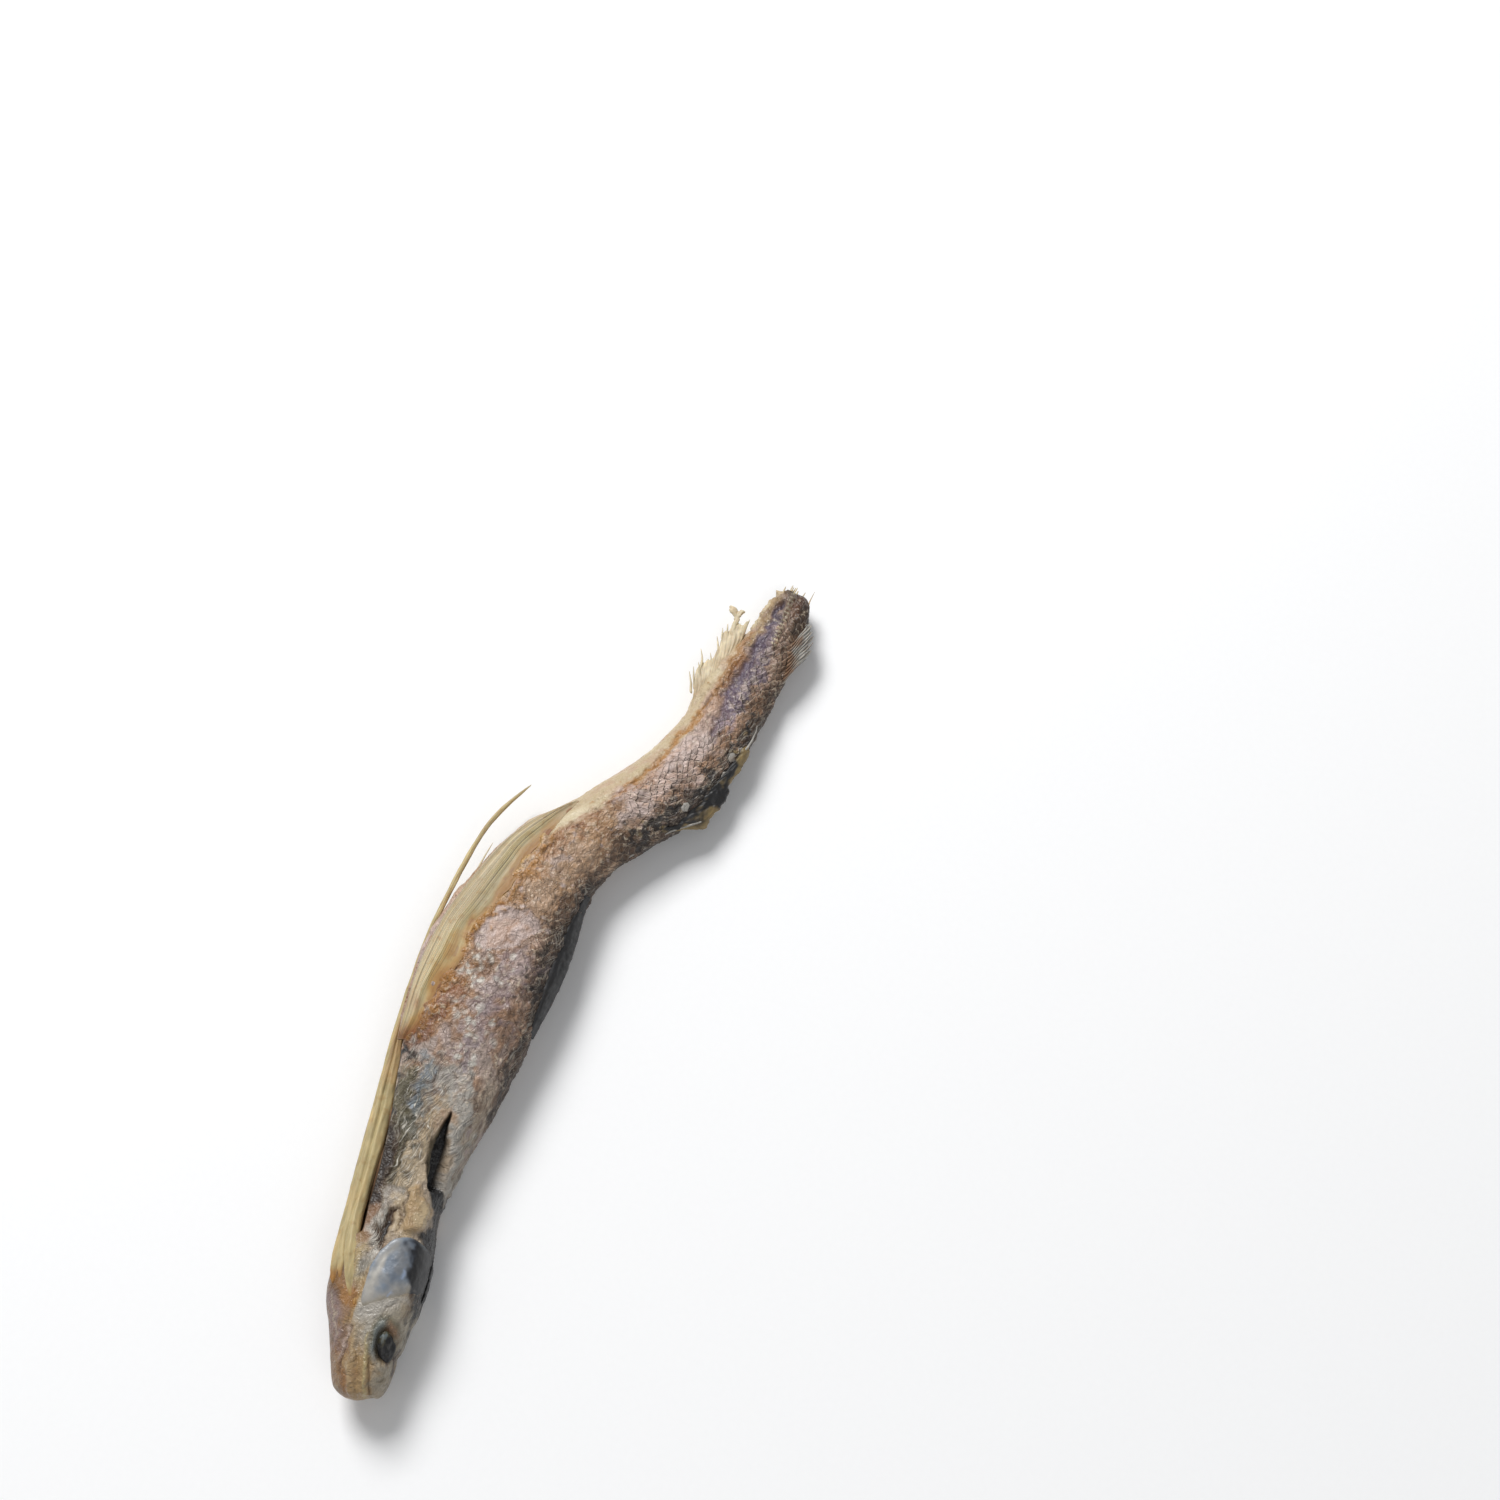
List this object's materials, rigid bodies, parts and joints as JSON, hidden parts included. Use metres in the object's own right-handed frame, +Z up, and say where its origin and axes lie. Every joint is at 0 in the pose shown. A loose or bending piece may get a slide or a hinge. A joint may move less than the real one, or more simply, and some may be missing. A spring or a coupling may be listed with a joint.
{
  "type": "dried barb",
  "caption": "Small whole river fish, gutted along the belly and dried hard in an S bend, lying on its left flank with the tail fin broken off.",
  "frame": {"origin": "on the table, under the middle of the fish's box", "axes": "+Z up out of the shown right flank, +Y from the head to the tail stump, +X from the belly to the back"},
  "size_m": [0.0211, 0.0954, 0.0076],
  "materials": {
    "dried_skin": "air-dried fish skin, satin: pinkish brown flank with small scales, dark back, golden belly fold, cream edge and silvery gill cover"
  },
  "bodies": {
    "root": {"dried_barb": "dried_skin"}
  },
  "joints": []
}
